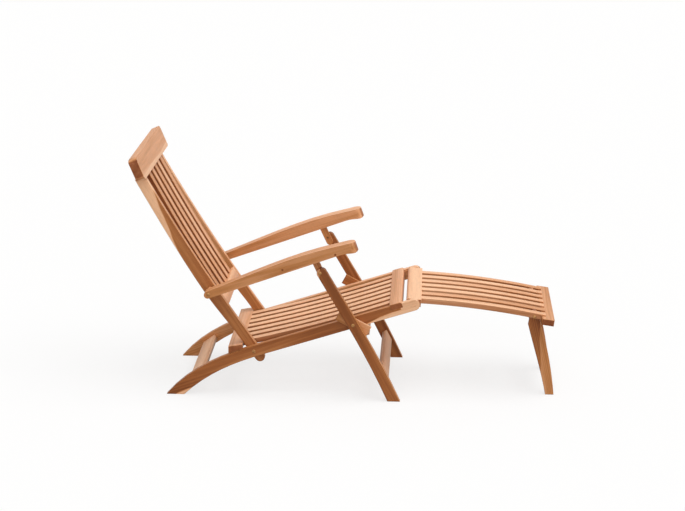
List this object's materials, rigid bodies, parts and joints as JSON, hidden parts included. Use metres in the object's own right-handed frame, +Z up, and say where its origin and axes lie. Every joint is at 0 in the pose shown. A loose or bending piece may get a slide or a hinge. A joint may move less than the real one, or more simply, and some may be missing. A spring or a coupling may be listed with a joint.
{
  "type": "steamer deck chair",
  "caption": "Folding slatted wooden lounge chair with a reclined back, hinged arms, crossed legs and a hinged footrest on its own folding legs.",
  "frame": {"origin": "on the floor, under the middle of the whole length and width", "axes": "+X forward towards the footrest, +Y towards the sitter's left, +Z up"},
  "size_m": [1.5816, 0.638, 0.9258],
  "materials": {
    "light_teak": "oiled, pale straight grain",
    "mid_teak": "oiled, medium straight grain",
    "dark_teak": "oiled, dark heartwood with pale sapwood streaks",
    "brass": "satin"
  },
  "bodies": {
    "seat": {"seat_slat_1": "light_teak", "seat_slat_2": "mid_teak", "seat_slat_3": "light_teak", "seat_slat_4": "mid_teak", "seat_slat_5": "light_teak", "seat_slat_6": "mid_teak", "seat_slat_7": "light_teak", "seat_rear_crossrail": "mid_teak", "seat_front_crossrail": "light_teak", "side_rail_right": "mid_teak", "side_rail_left": "mid_teak", "rear_stretcher": "light_teak", "back_pivot_bolt_right": "brass", "leg_pivot_bolt_right": "brass", "footrest_hinge_bolt_right": "brass", "back_pivot_bolt_left": "brass", "leg_pivot_bolt_left": "brass", "footrest_hinge_bolt_left": "brass"},
    "back": {"back_slat_1": "mid_teak", "back_slat_2": "light_teak", "back_slat_3": "mid_teak", "back_slat_4": "light_teak", "back_slat_5": "mid_teak", "back_lower_crossrail": "light_teak", "headrest_board": "light_teak", "back_stile_right": "mid_teak", "back_stile_left": "mid_teak", "arm_spacer_right": "dark_teak", "arm_spacer_left": "dark_teak", "arm_rear_bolt_right": "brass", "arm_rear_bolt_left": "brass"},
    "arm_right": {"armrest_right": "mid_teak", "arm_lug_right": "light_teak"},
    "arm_left": {"armrest_left": "mid_teak", "arm_lug_left": "light_teak"},
    "legs": {"main_leg_right": "dark_teak", "pivot_block_right": "mid_teak", "main_leg_left": "dark_teak", "pivot_block_left": "mid_teak", "stop_crossbar": "mid_teak", "leg_stretcher": "light_teak", "arm_front_bolt_right": "brass", "arm_front_bolt_left": "brass"},
    "footrest": {"footrest_slat_1": "light_teak", "footrest_slat_2": "mid_teak", "footrest_slat_3": "light_teak", "footrest_slat_4": "mid_teak", "footrest_slat_5": "light_teak", "footrest_slat_6": "mid_teak", "footrest_slat_7": "light_teak", "footrest_rear_crossrail": "light_teak", "footrest_end_board": "light_teak", "footrest_leg_bolt_right": "brass", "footrest_leg_bolt_left": "brass"},
    "footrest_legs": {"footrest_leg_right": "dark_teak", "footrest_leg_left": "dark_teak", "footrest_leg_crossbar": "mid_teak"}
  },
  "joints": [
    {"name": "back_fold", "type": "hinge", "parent": "seat", "child": "back", "pos_m": [-0.33999, 0, 0.175], "axis": [0, 1, 0], "range_deg": [0, 68]},
    {"name": "leg_fold", "type": "hinge", "parent": "seat", "child": "legs", "pos_m": [0.03277, 0, 0.29468], "axis": [0, 1, 0], "range_deg": [0, 86.6]},
    {"name": "arm_right_fold", "type": "hinge", "parent": "back", "child": "arm_right", "pos_m": [-0.50433, 0, 0.4054], "axis": [0, 1, 0], "range_deg": [-59.5, 0]},
    {"name": "arm_left_fold", "type": "hinge", "parent": "back", "child": "arm_left", "pos_m": [-0.50433, 0, 0.4054], "axis": [0, 1, 0], "range_deg": [-59.5, 0]},
    {"name": "footrest_fold", "type": "hinge", "parent": "seat", "child": "footrest", "pos_m": [0.25795, 0, 0.36698], "axis": [0, 1, 0], "range_deg": [0, 85]},
    {"name": "footrest_leg_fold", "type": "hinge", "parent": "footrest", "child": "footrest_legs", "pos_m": [0.70755, 0, 0.3157], "axis": [0, 1, 0], "range_deg": [0, 95]}
  ],
  "couplings": [
    {"joint": "leg_fold", "follows": "back_fold", "ratio": 1.27},
    {"joint": "arm_right_fold", "follows": "back_fold", "ratio": -0.872},
    {"joint": "arm_left_fold", "follows": "back_fold", "ratio": -0.872}
  ]
}
